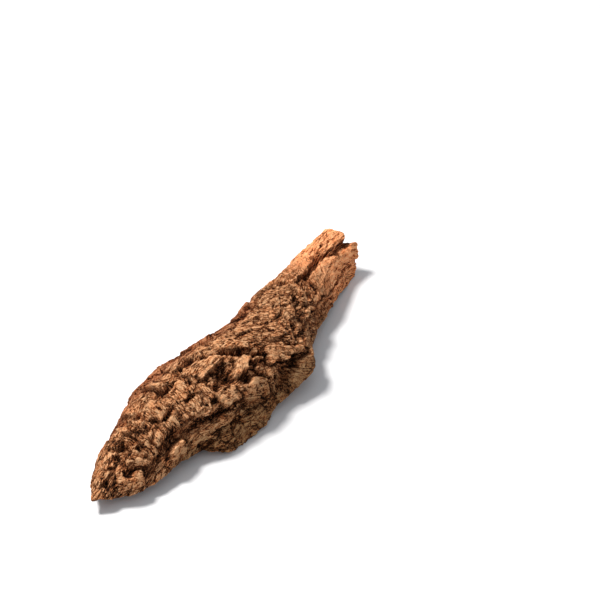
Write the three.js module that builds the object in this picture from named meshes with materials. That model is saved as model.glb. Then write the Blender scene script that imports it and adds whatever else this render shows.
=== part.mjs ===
import * as THREE from "three";
import { mergeVertices, mergeGeometries } from "three/addons/utils/BufferGeometryUtils.js";

// A slab of cork oak bark: one arched plate, hollow underneath, standing on the low points of its two rims.
// Millimetres. +X runs from the narrow tip to the broken far end, +Y to the left side, +Z up from the floor.

// ---- driving dimensions -------------------------------------------------------------------------------------
const ARCH = THREE.MathUtils.degToRad(80); // how far round each side of the arch turns down from the crown
const TIP_X = -158; // foremost point of the tip
const TIP_POINT = 12; // how far the corners of the tip stay behind its point
const TIP_WALL = 5; // bark in front of the hollow at the tip
const LEAST_WALL = 4.5; // bark left under the deepest pit
const RIM_DROOP = 1.3; // how far the middle of the rim bulges down between outer and inner edge
const ALONG = 110; // steps of the outer face along the slab
const ACROSS = 38; // steps of the outer face across the slab

// the two rims seen from above: x, y
const LEFT_RIM = [
  [-158, 2], [-146, 9], [-130, 18.5], [-108, 26], [-88, 31.5], [-60, 36], [-38, 33], [-14, 25], [10, 21], [40, 23],
  [90, 26], [125, 27], [148, 24],
];
const RIGHT_RIM = [
  [-158, -5], [-146, -12], [-134, -21], [-108, -27], [-84, -30], [-70, -42], [-50, -46], [-36, -49], [-24, -47],
  [4, -49.5], [17, -50], [27, -45], [38, -37.5], [52, -31.5], [80, -25], [114, -17], [148, -11],
];
// height above the floor of the crown and of the two rims: x, z
const CROWN = [[-158, 10], [-146, 15], [-128, 23], [-100, 32], [-60, 39], [-20, 41], [20, 40], [60, 35], [100, 31],
  [130, 29], [148, 28]];
const LEFT_FOOT = [[-158, 5], [-125, 4], [-104, 1.5], [-92, -2], [-80, 1.5], [-55, 3], [-20, 6], [30, 8], [90, 5],
  [114, 2], [126, -2], [138, 1.5], [148, 2]];
const RIGHT_FOOT = [[-158, 5], [-140, 6], [-110, 8], [-85, 6], [-68, 1.5], [-56, -2], [-44, 1.5], [-26, 4], [0, 9],
  [22, 12], [50, 10], [90, 6], [118, 2], [130, -2], [141, 1.5], [148, 2]];
// thickness of the bark at the crown and at the rims: x, mm
const CROWN_WALL = [[-158, 7], [-140, 8.5], [-100, 11.5], [-50, 13.5], [50, 13.5], [100, 11.5], [148, 9.5]];
const RIM_WALL = [[-158, 5], [-130, 6.5], [-60, 8.5], [50, 8.5], [100, 7], [148, 6.5]];
// the broken end: share of the way across (-1 right rim, 1 left rim), x
const END_LINE = [
  [-1, 134], [-0.75, 140], [-0.5, 142.5], [-0.4, 141], [-0.34, 138], [-0.15, 139], [0.1, 138], [0.3, 140],
  [0.6, 144], [0.8, 142], [1, 136],
];

// furrows of the outer face, traced as x and distance round the arch from the crown line (left is plus)
const FURROWS = [
  { path: [[-112, -22], [-105, -22], [-98, -23], [-93, -25], [-87, -27], [-80, -27], [-70, -28], [-62, -30]], width: 2.6, depth: 5.2 },
  { path: [[-70, -36], [-60, -41], [-53, -38], [-45, -40], [-38, -40], [-30, -42]], width: 2.4, depth: 3.2 },
  { path: [[-58, -31], [-50, -34], [-45, -36]], width: 2.0, depth: 3.0 },
  { path: [[-45, -29], [-45, -37]], width: 2.0, depth: 3.5 },
  { path: [[-98, 6], [-90, 8], [-82, 5], [-76, 3], [-68, 5], [-60, 7]], width: 2.6, depth: 4.5 },
  { path: [[-82, 3], [-83, -4], [-86, -11], [-92, -14]], width: 1.9, depth: 3.5 },
  { path: [[-80, 8], [-80, 24]], width: 2.2, depth: 3.0 },
  { path: [[-108, 8], [-106, 20]], width: 2.2, depth: 3.0 },
  { path: [[-48, 10], [-42, 5], [-36, 3], [-29, -2], [-22, -8], [-17, -13], [-9, -19]], width: 2.2, depth: 5.5 },
  { path: [[-134, -8], [-130, -11], [-127, -14], [-124, -18]], width: 2.0, depth: 4.5 },
  { path: [[-127, -19], [-120, -20.5], [-113, -21.5]], width: 1.7, depth: 3.0 },
  { path: [[-122, -7], [-120, -12], [-116, -19]], width: 1.2, depth: 2.0 },
  { path: [[-109, -2], [-116, -1], [-124, 0], [-132, 1]], width: 5.0, depth: 4.2 },
  { path: [[-96, -9], [-104, -12], [-112, -13]], width: 1.8, depth: 2.2 },
  { path: [[9, -30], [3, -33], [-3, -36], [-9, -38], [-14, -41]], width: 2.4, depth: 4.5 },
  { path: [[80, -5], [88, -5], [97, -5], [105, -4], [111, -8]], width: 1.7, depth: 2.6 },
  { path: [[112, -9], [120, -12], [136, -12]], width: 1.5, depth: 2.6 },
  { path: [[54, -9], [50, -14], [45, -15]], width: 1.8, depth: 3.5 },
  { path: [[20, -23], [34, -25], [50, -26], [74, -27], [100, -29], [124, -30]], width: 2.0, depth: 2.8 },
  { path: [[60, -33], [90, -33], [110, -34]], width: 2.0, depth: 2.0 },
  { path: [[-60, 22], [-38, 23], [-12, 21]], width: 2.4, depth: 3.0 },
  { path: [[-6, 13], [16, 16], [44, 13], [70, 15]], width: 2.2, depth: 2.2 },
  { path: [[10, 29], [44, 27], [84, 25], [118, 24]], width: 2.4, depth: 2.6 },
  { path: [[5, -3], [9, -8]], width: 1.6, depth: 2.0 },
];

// plates that stand up: middle, half length, half width, turn in degrees, height, lean to the far end and to the left
const PLATES = [
  [-91, -3.5, 6, 8, 8, 4.2, 0.5, -0.2], [-104, -3.5, 3, 3.5, -10, 2.8, 0.3, 0.6],
  [-104, -13.5, 4.6, 5.5, -8, 3.2, 0.4, 0.3], [-92, -18, 5, 4, -10, 2.2, 0.5, 0.2],
  [-113.5, -13, 3, 6.5, 0, 3.2, 0.6, 0.2], [-120, -12.5, 8, 2.6, -66, 3.2, -0.2, 0.5],
  [-125.5, -11.5, 7, 2.4, -52, 3.0, -0.3, 0.5], [-135, -14, 9, 4.2, -38, 3.0, 0.3, 0.5],
  [-132, 7, 5.5, 5, 10, 2.2, 0.2, -0.6], [-143, 4, 5, 4, 0, 1.8, 0.4, -0.4], [-119, 10, 6, 5, 15, 2.0, -0.2, -0.6],
  [-109, 8, 4.5, 6, -15, 2.2, -0.5, -0.3], [-72, 14, 5, 8, 10, 2.6, -0.7, -0.2], [-63, 9, 7, 5.5, -10, 1.8, 0.3, 0],
  [-73, -4, 6.5, 7.5, -8, 3.4, 0.7, 0.1], [-60, -5, 1.6, 4.5, -25, 2.2, 0, 0.3],
  [-62.5, -15.5, 3, 5, -5, 3.6, 0.3, -0.3], [-71.5, -20, 5.5, 6, -8, 3.0, 0.4, -0.3],
  [-80, -17, 3.5, 5, -10, 1.6, 0, 0], [-99, -31, 7, 4, -15, 2.6, 0, 0.6], [-84, 14, 6, 7, 0, 1.2, 0.4, 0],
  [-95, 14, 5, 7, 0, 1.4, -0.4, 0.2], [-47, 0, 11, 8.5, 12, 4.0, 0.4, -0.4], [-52, 14, 7, 5, 0, 2.2, -0.3, -0.5],
  [-36, 12, 8, 4, -10, 2.0, 0, -0.5], [-32, 4, 5, 3, -25, 2.6, 0.4, -0.3], [-18, 0, 10, 6, -35, 2.6, -0.5, -0.4],
  [-31, -7, 6, 4, -20, 1.4, 0, 0.3], [-29.5, -16, 10, 3, 15, 5.2, 0.1, -0.5], [-15, -16, 6, 3.8, 10, 2.0, 0, 0],
  [-20, -25.5, 3, 2.4, 0, 2.8, 0, 0.3], [-2, -22, 8.5, 5.5, -8, 3.2, 0.2, -0.5],
  [9, -26, 7, 2.6, -23, 5.6, 0.3, 0.2], [10, -41, 15, 7, -5, 2.4, 0, 0.6], [-51, -26, 8, 5, -12, 3.0, 0.3, -0.4],
  [-32, -32, 11, 5.5, -14, 3.0, 0.2, 0.4], [-52, -36, 7, 3.5, -10, 1.4, 0, -0.3],
  [-66, -34, 7, 3.5, -10, 1.4, 0, -0.5], [-4, 9, 8, 5, -30, 1.3, 0.5, -0.3], [12, 13, 8, 5, -20, 1.3, 0.3, -0.5],
  [22, 2, 9, 6, -15, 1.0, 0.5, -0.3], [39, 5, 8, 6, 0, 1.0, 0.5, 0.2], [10, -9, 8, 5, -15, 1.0, 0.3, -0.3],
  [34, -11, 7, 4, 0, 1.0, 0, -0.4], [54, -15, 5, 2.2, -30, 3.2, 0, 0.5], [50, -25, 11, 4.5, -5, 2.2, 0, 0.5],
  [64, -7, 4, 7, -8, 1.6, -0.6, 0.2], [100, -16, 22, 8.5, -2, 2.8, -0.3, 0.5], [84, 6, 20, 9, 0, 2.0, -0.2, -0.4],
  [126, 3, 15, 11, -5, 2.8, 0.3, -0.2], [133, -18, 11, 5, -8, 3.4, 0.3, 0.3], [98, -29, 28, 4, -2, 1.6, 0, 0.5],
  [58, 20, 14, 5, 0, 1.2, 0, -0.4], [24, 24, 12, 5, 0, 1.6, 0, -0.3], [-20, 26, 12, 6, 0, 1.8, 0, -0.3],
];
const PLATE_EDGE = 2.2; // how far a plate's edge slopes
const PLATE_RISE = 1.3; // all plates together

// holes eaten or broken into the face: x, distance round the arch, radius, depth
const HOLES = [
  [-115, -1, 3.4, 4], [-117, -8, 2.2, 4], [-123, 0, 2.6, 2.5], [-129, 2, 1.8, 3], [-146, -3, 2.2, 2.5],
  [-94, -25, 3.2, 3.5], [-84, -27, 2.8, 2.5], [-73, -1, 1.8, 2], [-62, 4, 2.4, 2.5], [-44, -15, 6, 4.5],
  [-53, -18, 2.4, 3], [-33, -22.5, 3.4, 5], [-20, -20, 2.0, 3], [-10, -21, 2.0, 3], [-12, -33.5, 1.7, 3.5],
  [6, -32, 3.6, 5], [-1, -34, 2.4, 2.5], [27, -18, 3.2, 3], [22, -21, 2.6, 2.5], [38, -8, 1.8, 3],
  [67, -15, 2.4, 3], [48, -22, 2.0, 2.5], [56, -24, 1.8, 2.5], [105, -4, 3.0, 4.5], [100, -4, 2.6, 3.5],
  [-80, -42, 3.4, 3.5], [124, -2, 1.2, 2], [117, 1, 1.2, 1.6], [-104, 14, 2.4, 2.5], [-24, 14, 2.4, 2],
  [54, 6, 1.8, 2], [92, 20, 2.2, 2.2], [27, -12, 1.5, 2],
];

// ---- helpers ------------------------------------------------------------------------------------------------
const mix = (a, b, t) => a + (b - a) * t;
const ease = (t) => t * t * (3 - 2 * t);
const clamp = (t) => Math.min(1, Math.max(0, t));

// a smooth line through a list of points
function curve(table, x) {
  const last = table.length - 1;
  const at = Math.min(table[last][0], Math.max(table[0][0], x));
  let i = 0;
  while (i < last - 1 && at >= table[i + 1][0]) i++;
  const slope = (k) => (table[k + 1][1] - table[k][1]) / (table[k + 1][0] - table[k][0]);
  const lean = (k) => (k === 0 ? slope(0) : k === last ? slope(last - 1) : (slope(k - 1) + slope(k)) / 2);
  const step = table[i + 1][0] - table[i][0];
  const t = (at - table[i][0]) / step;
  return (2 * t ** 3 - 3 * t ** 2 + 1) * table[i][1] + (t ** 3 - 2 * t ** 2 + t) * step * lean(i)
    + (3 * t ** 2 - 2 * t ** 3) * table[i + 1][1] + (t ** 3 - t ** 2) * step * lean(i + 1);
}

// a fixed chance value from 0 to 1 for each point of a grid
function chance(i, j, k) {
  let h = Math.imul(i, 374761393) ^ Math.imul(j, 668265263) ^ Math.imul(k, 1274126177);
  h = Math.imul(h ^ (h >>> 15), 2246822519);
  h = Math.imul(h ^ (h >>> 13), 3266489917);
  return ((h ^ (h >>> 16)) >>> 0) / 4294967296;
}

// soft unevenness from -1 to 1
function wander(x, y, k) {
  const i = Math.floor(x);
  const j = Math.floor(y);
  const a = ease(x - i);
  const b = ease(y - j);
  return 2 * mix(mix(chance(i, j, k), chance(i + 1, j, k), a), mix(chance(i, j + 1, k), chance(i + 1, j + 1, k), a), b) - 1;
}

// flat slanting faces where pieces broke away, from about -1 to 1
function facets(x, y, k) {
  const i0 = Math.floor(x);
  const j0 = Math.floor(y);
  let near = 9;
  let top = 0;
  for (let i = i0 - 1; i <= i0 + 1; i++) {
    for (let j = j0 - 1; j <= j0 + 1; j++) {
      const dx = x - i - 0.15 - 0.7 * chance(i, j, k);
      const dy = y - j - 0.15 - 0.7 * chance(i, j, k + 50);
      const d = Math.hypot(dx, dy);
      if (d < near) {
        near = d;
        top = 1.2 * chance(i, j, k + 90) - 0.6 + 1.6 * (chance(i, j, k + 60) - 0.5) * dx
          + 1.6 * (chance(i, j, k + 70) - 0.5) * dy;
      }
    }
  }
  return top;
}

function distanceTo(path, x, s) {
  let best = Infinity;
  for (let i = 1; i < path.length; i++) {
    const [ax, as] = path[i - 1];
    const dx = path[i][0] - ax;
    const ds = path[i][1] - as;
    const t = clamp(((x - ax) * dx + (s - as) * ds) / (dx * dx + ds * ds));
    best = Math.min(best, Math.hypot(x - ax - t * dx, s - as - t * ds));
  }
  return best;
}

// ---- form of the slab ---------------------------------------------------------------------------------------
function rimHeight(table, x, k) {
  const z = curve(table, x);
  return z + 1.2 * clamp(z / 4) * wander(x / 9, 0.5, k);
}

// a point of the arch at x; across goes from -1 at the right rim to 1 at the left rim
function arch(x, across, inner) {
  const left = curve(LEFT_RIM, x);
  const right = curve(RIGHT_RIM, x);
  const rim = mix(rimHeight(RIGHT_FOOT, x, 21), rimHeight(LEFT_FOOT, x, 22), (across + 1) / 2);
  const halfWide = (left - right) / 2 - (inner ? curve(RIM_WALL, x) : 0);
  const high = curve(CROWN, x) - rim - (inner ? curve(CROWN_WALL, x) : 0);
  const turn = across * ARCH;
  return new THREE.Vector3(x, (left + right) / 2 + halfWide * Math.sin(turn) / Math.sin(ARCH),
    rim + high * (Math.cos(turn) - Math.cos(ARCH)) / (1 - Math.cos(ARCH)));
}

function outward(x, across, inner) {
  const e = 0.02;
  const along = arch(x + 1, across, inner).sub(arch(x - 1, across, inner));
  const round = arch(x, across + e, inner).sub(arch(x, across - e, inner));
  return along.cross(round).normalize();
}

// distance round the arch from the crown line
function roundArch(x, across) {
  const wide = (curve(LEFT_RIM, x) - curve(RIGHT_RIM, x)) / 2;
  const high = curve(CROWN, x) - (curve(LEFT_FOOT, x) + curve(RIGHT_FOOT, x)) / 2;
  return across * 1.396 * Math.sqrt((wide * wide + high * high) / 2);
}

// raised lips with a furrow between them, along the line where the value is zero
const furrowPattern = (value, lip, depth, width) => lip * Math.tanh(value / 0.2) - depth * Math.exp(-Math.abs(value) / width);

// the plates that stand up, and the gap at the foot of their edges
function plateTops(x, s) {
  let raised = 0;
  let gap = 0;
  let onPlate = 0;
  for (const [px, ps, halfLong, halfWide, turn, high, leanLong, leanWide] of PLATES) {
    const a = THREE.MathUtils.degToRad(turn);
    const u = ((x - px) * Math.cos(a) + (s - ps) * Math.sin(a)) / halfLong;
    const v = ((s - ps) * Math.cos(a) - (x - px) * Math.sin(a)) / halfWide;
    const out = ((u ** 8 + v ** 8) ** 0.125 - 1) * Math.min(halfLong, halfWide);
    const lean = leanLong * Math.max(-1, Math.min(1, u)) + leanWide * Math.max(-1, Math.min(1, v));
    const top = high * (1 + lean) / (1 + Math.abs(leanLong) + Math.abs(leanWide));
    const here = clamp(0.5 - out / PLATE_EDGE);
    raised = Math.max(raised, top * here);
    onPlate = Math.max(onPlate, here);
    gap = Math.max(gap, top * Math.exp(-(((out - 1) / 1) ** 2)));
  }
  return { raised: PLATE_RISE * raised, gap: raised > gap ? 0 : PLATE_RISE * gap, onPlate };
}

// how high the bark stands over the plain arch
function relief(x, s) {
  const x1 = x + 1.3 * wander(x / 5, s / 5, 1);
  const s1 = s + 1.3 * wander(x / 5, s / 5, 2);
  const x2 = x1 + 3 * wander(x / 15, s / 11, 3);
  const s2 = s1 + 3 * wander(x / 15, s / 11, 4);
  // the far end is straight-grained and calm, the crown behind it and both flanks calmer than the rest
  const far = ease(clamp((x - 55) / 40));
  const upper = ease(clamp((x + 28) / 30)) * (1 - far);
  const left = ease(clamp((s - 8) / 14));
  const right = ease(clamp((-s - 26) / 12));
  const rough = (1 - 0.55 * upper) * (1 - 0.35 * left) * (1 - 0.4 * right) * (1 - far);
  const broken = 0.5 * wander(x2 / 17, s2 / 9, 7) + furrowPattern(wander(x2 / 30, s2 / 9, 6), 0.5, 2, 0.12);
  const split = 0.6 * wander(x1 / 50, s1 / 7, 10) + furrowPattern(wander(x1 / 75, s1 / 6.5, 9), 0.4, 1.6, 0.13);
  const faces = mix(rough, 0.3, far) * 1.7 * facets(x1 / mix(15, 45, far), s1 / mix(8.5, 7, far), 12);
  const { raised, gap, onPlate } = plateTops(x1, s1);
  let h = 1.3 * wander(x / 38, s / 24, 5) + (1 - 0.75 * onPlate) * (rough * broken + far * split + faces);
  h += raised - 0.4 * gap;
  for (const { path, width, depth } of FURROWS) {
    const spread = width * (1 + 0.3 * wander(x / 9, s / 9, 8));
    h -= 1.2 * depth * Math.exp(-((distanceTo(path, x1, s1) / spread) ** 1.5));
  }
  for (const [px, ps, radius, depth] of HOLES) {
    h -= 1.4 * depth * Math.exp(-((Math.hypot(x1 - px, s1 - ps) / radius) ** 4));
  }
  return h;
}

// where the far end broke off
function endX(across) {
  return curve(END_LINE, across) + 1.4 * wander(across * 7, 0.5, 51);
}

function outerPoint(u, v) {
  const across = 2 * v - 1;
  const x = mix(TIP_X + TIP_POINT * across * across, endX(across), u);
  const spare = Math.max(1, arch(x, across, false).distanceTo(arch(x, across, true)) - LEAST_WALL);
  const h = relief(x, roundArch(x, across)) * clamp(0.3 + (x - TIP_X) / 12);
  const lift = h > 0 ? h : spare * Math.tanh(h / spare);
  return arch(x, across, false).addScaledVector(outward(x, across, false), lift);
}

// the belly of the bark: smoother, with long shallow ribs
function innerPoint(u, v) {
  const across = 2 * v - 1;
  const x = mix(TIP_X + TIP_POINT * across * across + TIP_WALL, endX(across) - 1, u);
  const s = roundArch(x, across);
  const rib = 1.1 * wander(x / 34, s / 6.5, 31) + 0.7 * wander(x / 13, s / 8, 32);
  return arch(x, across, true).addScaledVector(outward(x, across, true), rib);
}

const onFloor = (p) => p.setZ(Math.max(0, p.z));

// ---- the two faces and the rim between them -----------------------------------------------------------------
function face(along, acrossSteps, point, flip) {
  const geometry = new THREE.PlaneGeometry(1, 1, along, acrossSteps);
  const uv = geometry.getAttribute("uv");
  const position = geometry.getAttribute("position");
  for (let i = 0; i < uv.count; i++) {
    const p = onFloor(point(Math.round(uv.getX(i) * along) / along, Math.round(uv.getY(i) * acrossSteps) / acrossSteps));
    position.setXYZ(i, p.x, p.y, p.z);
  }
  if (flip) geometry.getIndex().array.reverse();
  return geometry;
}

// places round the border: right rim, broken end, left rim, tip
function border(along, acrossSteps) {
  const places = [];
  for (let i = 0; i < along; i++) places.push([i / along, 0]);
  for (let j = 0; j < acrossSteps; j++) places.push([1, j / acrossSteps]);
  for (let i = along; i > 0; i--) places.push([i / along, 1]);
  for (let j = acrossSteps; j > 0; j--) places.push([0, j / acrossSteps]);
  return places;
}

function rim() {
  const outer = border(ALONG, ACROSS).map(([u, v]) => outerPoint(u, v));
  const inner = border(ALONG / 2, ACROSS / 2).map(([u, v]) => innerPoint(u, v));
  const count = outer.length;
  const middle = border(ALONG, ACROSS).map(([u, v], i) => {
    const a = inner[Math.floor(i / 2)];
    const b = inner[Math.ceil(i / 2) % inner.length];
    const p = a.clone().add(b).multiplyScalar(0.5).add(outer[i]).multiplyScalar(0.5);
    if (u === 1) return p.setX(p.x + 0.8 * wander(p.y / 4, p.z / 3, 41));
    if (u === 0) return p.setX(p.x - 1);
    return p.setZ(p.z - RIM_DROOP);
  });
  const points = [...outer, ...middle, ...inner].map(onFloor);
  const index = [];
  for (let i = 0; i < count; i++) {
    const n = (i + 1) % count;
    index.push(i, count + i, count + n, i, count + n, n);
  }
  for (let j = 0; j < inner.length; j++) {
    const m = [2 * j, 2 * j + 1, (2 * j + 2) % count].map((k) => count + k);
    const a = 2 * count + j;
    const b = 2 * count + (j + 1) % inner.length;
    index.push(m[0], a, m[1], m[1], a, b, m[1], b, m[2]);
  }
  const geometry = new THREE.BufferGeometry().setFromPoints(points);
  geometry.setIndex(index);
  return geometry;
}

const parts = [face(ALONG, ACROSS, outerPoint, false), face(ALONG / 2, ACROSS / 2, innerPoint, true), rim()];
for (const geometry of parts) {
  geometry.deleteAttribute("normal");
  geometry.deleteAttribute("uv");
}
const bark = mergeVertices(mergeGeometries(parts), 1e-3);

// stand it over the origin
bark.computeBoundingBox();
const middle = bark.boundingBox.getCenter(new THREE.Vector3());
bark.translate(-middle.x, -middle.y, -bark.boundingBox.min.z);
bark.computeVertexNormals();

const slab = new THREE.Mesh(bark, new THREE.MeshStandardMaterial({ color: "#8f6a48", roughness: 0.92, metalness: 0 }));
slab.name = "cork_slab";

const part = new THREE.Group();
part.name = "cork_bark_slab";
part.add(slab);
export default part;
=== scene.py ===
# %% [markdown]
# # A slab of cork bark
# The slab is one arched plate of cork oak bark, as it comes off a branch: rough outside, hollow
# underneath. The solid model gives its form. This lesson grows the same form again with many more
# points, so that the plates, furrows and crumbs show, and then gives it the colours of dry bark.
# Lengths are in millimetres until the last moment, when the mesh is made in metres.

# %% Load the solid model
import math
import bpy
import numpy as np
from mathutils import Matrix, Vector


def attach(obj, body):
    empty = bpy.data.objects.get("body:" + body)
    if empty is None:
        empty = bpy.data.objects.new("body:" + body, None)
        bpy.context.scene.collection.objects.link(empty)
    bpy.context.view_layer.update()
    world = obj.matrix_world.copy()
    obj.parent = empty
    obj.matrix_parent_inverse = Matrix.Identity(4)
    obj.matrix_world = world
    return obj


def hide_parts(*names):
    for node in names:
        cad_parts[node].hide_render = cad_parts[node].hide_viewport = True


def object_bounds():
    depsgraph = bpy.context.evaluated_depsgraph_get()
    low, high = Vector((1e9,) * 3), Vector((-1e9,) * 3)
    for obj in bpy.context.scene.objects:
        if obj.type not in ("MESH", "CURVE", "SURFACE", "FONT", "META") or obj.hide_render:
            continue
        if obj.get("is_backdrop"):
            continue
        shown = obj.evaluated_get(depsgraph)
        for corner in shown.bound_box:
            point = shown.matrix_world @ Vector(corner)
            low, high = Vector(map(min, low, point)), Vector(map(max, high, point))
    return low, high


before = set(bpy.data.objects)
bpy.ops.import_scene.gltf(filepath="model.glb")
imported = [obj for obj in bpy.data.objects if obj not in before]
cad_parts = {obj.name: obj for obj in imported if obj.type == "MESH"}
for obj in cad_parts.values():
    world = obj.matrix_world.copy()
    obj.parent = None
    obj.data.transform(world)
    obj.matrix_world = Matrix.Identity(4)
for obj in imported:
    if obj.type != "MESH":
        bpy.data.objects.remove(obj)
solid_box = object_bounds()
print("nodes in the solid model:", sorted(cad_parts))
print("its box in metres:", [round(v, 4) for corner in solid_box for v in corner])

# %% [markdown]
# ## The camera
# The camera comes first, so that every later step can be looked at. It stands where the
# photographer stood: above the slab, beside its right rim, looking along it towards the broken end.
# A long lens keeps the two ends in proportion. The slab was drawn with its crown near zero, and the
# solid model stands with its middle at zero, so one small shift carries every drawn point to its
# place on the floor.

# %% Aim the camera
DRAWING_TO_FLOOR = (6.764, 7.488)
LOOKED_AT = (90.0, 6.0)
CAMERA_TURN = math.radians(-57.0)
CAMERA_RISE = math.radians(38.0)
CAMERA_AWAY = 1250.0
LENS = 105.0
SENSOR = 36.0

towards_camera = np.array([
    math.sin(CAMERA_TURN) * math.cos(CAMERA_RISE),
    -math.cos(CAMERA_TURN) * math.cos(CAMERA_RISE),
    math.sin(CAMERA_RISE),
])
print("the camera stands", round(CAMERA_AWAY * math.sin(CAMERA_RISE)), "mm over the floor")

# %% Place the camera
target = np.array([LOOKED_AT[0] + DRAWING_TO_FLOOR[0], LOOKED_AT[1] + DRAWING_TO_FLOOR[1], 0.0])
camera_data = bpy.data.cameras.new("camera")
camera_data.lens = LENS
camera_data.sensor_width = SENSOR
camera = bpy.data.objects.new("camera", camera_data)
bpy.context.scene.collection.objects.link(camera)
bpy.context.scene.camera = camera
camera.location = [float(v) / 1000 for v in target + CAMERA_AWAY * towards_camera]
camera.rotation_mode = "QUATERNION"
camera.rotation_quaternion = Vector([-float(v) for v in towards_camera]).to_track_quat("-Z", "Y")
print("camera at", [round(v, 3) for v in camera.location])

# %% [markdown]
# ## The floor and the light
# Such goods are photographed on a white sheet. The floor is that sheet, and the light is one broad
# soft lamp from the upper left with an even pale sky, so the furrows are dark without being black.

# %% Lay the floor
SHEET = 6
SHEET_DROP = 0.0002
sheet_corners = [(-SHEET, -SHEET, 0), (SHEET, -SHEET, 0), (SHEET, SHEET, 0), (-SHEET, SHEET, 0)]
floor_mesh = bpy.data.meshes.new("floor")
floor_mesh.from_pydata(sheet_corners, [], [(0, 1, 2, 3)])
floor = bpy.data.objects.new("floor", floor_mesh)
floor.location = (0, 0, -SHEET_DROP)
bpy.context.scene.collection.objects.link(floor)
floor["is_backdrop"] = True
paper = bpy.data.materials.new("white paper")
paper.use_nodes = True
paper_shader = paper.node_tree.nodes["Principled BSDF"]
paper_shader.inputs["Base Color"].default_value = (0.86, 0.86, 0.87, 1)
paper_shader.inputs["Roughness"].default_value = 0.9
floor_mesh.materials.append(paper)
print("floor laid,", 2 * SHEET, "m wide")

# %% Light the sky
SKY_COLOUR = (0.93, 0.96, 1.0, 1)
SKY_STRENGTH = 0.46
sky = bpy.data.worlds.new("sky")
bpy.context.scene.world = sky
sky.use_nodes = True
sky.node_tree.nodes["Background"].inputs["Color"].default_value = SKY_COLOUR
sky.node_tree.nodes["Background"].inputs["Strength"].default_value = SKY_STRENGTH
bpy.context.scene.view_settings.view_transform = "Standard"
print("sky lit")


# %% Hang the lamp
LAMP_AWAY = 1.3
LAMP_WIDE = 0.38
LAMP_POWER = 24.8
LAMP_TINT = (1.0, 0.985, 0.96)


def hang_lamp(name, direction, away, size, power, tint):
    lamp_data = bpy.data.lights.new(name, "AREA")
    lamp_data.shape = "DISK"
    lamp_data.size = size
    lamp_data.energy = power
    lamp_data.color = tint
    lamp = bpy.data.objects.new(name, lamp_data)
    way = Vector(direction).normalized()
    lamp.location = Vector((0.0, 0.0, 0.02)) + way * away
    lamp.rotation_mode = "QUATERNION"
    lamp.rotation_quaternion = (-way).to_track_quat("-Z", "Y")
    bpy.context.scene.collection.objects.link(lamp)
    return lamp


picture_right = Vector((math.cos(CAMERA_TURN), math.sin(CAMERA_TURN), 0))
picture_away = Vector((-math.sin(CAMERA_TURN), math.cos(CAMERA_TURN), 0))
up = Vector((0, 0, 1))
towards_lamp = up - picture_right * 0.55 + picture_away * 0.25
hang_lamp("window lamp", towards_lamp, LAMP_AWAY, LAMP_WIDE, LAMP_POWER, LAMP_TINT)
print("lamp hung at the upper left of the picture")

# %% [markdown]
# ## The measured lines of the slab
# A slab like this has no straight edge, so it is drawn as a boatbuilder would: two rims seen from
# above, the height of the crown, the height of each rim over the floor, and how thick the bark is.
# A rim drawn a little below the floor becomes a small flat foot there. They are the solid model's
# own lines, in millimetres, repeated here because the lesson must rebuild the very same arch.

# %% Draw the two rims
TIP_X = -158
TIP_POINT = 12
LEFT_RIM = [
    (-158, 2), (-146, 9), (-130, 18.5), (-108, 26), (-88, 31.5), (-60, 36), (-38, 33),
    (-14, 25), (10, 21), (40, 23), (90, 26), (125, 27), (148, 24),
]
RIGHT_RIM = [
    (-158, -5), (-146, -12), (-134, -21), (-108, -27), (-84, -30), (-70, -42), (-50, -46),
    (-36, -49), (-24, -47), (4, -49.5), (17, -50), (27, -45), (38, -37.5), (52, -31.5),
    (80, -25), (114, -17), (148, -11),
]
END_LINE = [
    (-1, 134), (-0.75, 140), (-0.5, 142.5), (-0.4, 141), (-0.34, 138), (-0.15, 139),
    (0.1, 138), (0.3, 140), (0.6, 144), (0.8, 142), (1, 136),
]
print("slab drawn", END_LINE[8][1] - TIP_X, "mm long")

# %% Draw the crown and the height of the rims
ARCH = math.radians(80)
CROWN = [
    (-158, 10), (-146, 15), (-128, 23), (-100, 32), (-60, 39), (-20, 41), (20, 40),
    (60, 35), (100, 31), (130, 29), (148, 28),
]
LEFT_FOOT = [
    (-158, 5), (-125, 4), (-104, 1.5), (-92, -2), (-80, 1.5), (-55, 3), (-20, 6), (30, 8),
    (90, 5), (114, 2), (126, -2), (138, 1.5), (148, 2),
]
RIGHT_FOOT = [
    (-158, 5), (-140, 6), (-110, 8), (-85, 6), (-68, 1.5), (-56, -2), (-44, 1.5), (-26, 4),
    (0, 9), (22, 12), (50, 10), (90, 6), (118, 2), (130, -2), (141, 1.5), (148, 2),
]
print("crown at its highest", max(z for x, z in CROWN), "mm over the floor")

# %% Say how thick the bark is
TIP_WALL = 5
LEAST_WALL = 4.5
RIM_DROOP = 1.3
CROWN_WALL = [(-158, 7), (-140, 8.5), (-100, 11.5), (-50, 13.5), (50, 13.5), (100, 11.5), (148, 9.5)]
RIM_WALL = [(-158, 5), (-130, 6.5), (-60, 8.5), (50, 8.5), (100, 7), (148, 6.5)]
print("bark", CROWN_WALL[3][1], "mm thick at the crown and", RIM_WALL[2][1], "mm at the rims")


# %% [markdown]
# ## Small tools: smooth lines and controlled chance
# Bark is uneven, but the lesson must give the same slab each time. So chance comes from a fixed sum
# on whole numbers: `wander` is a soft unevenness from -1 to 1, and `cells` breaks a surface into
# irregular pieces, as drying bark does. A displacement texture could do the same, but formulas keep
# every crumb in the mesh.

# %% Smooth lines through points
def ease(t):
    return t * t * (3 - 2 * t)


def clamp(t):
    return np.clip(t, 0.0, 1.0)


def mix(a, b, t):
    return a + (b - a) * t


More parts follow.
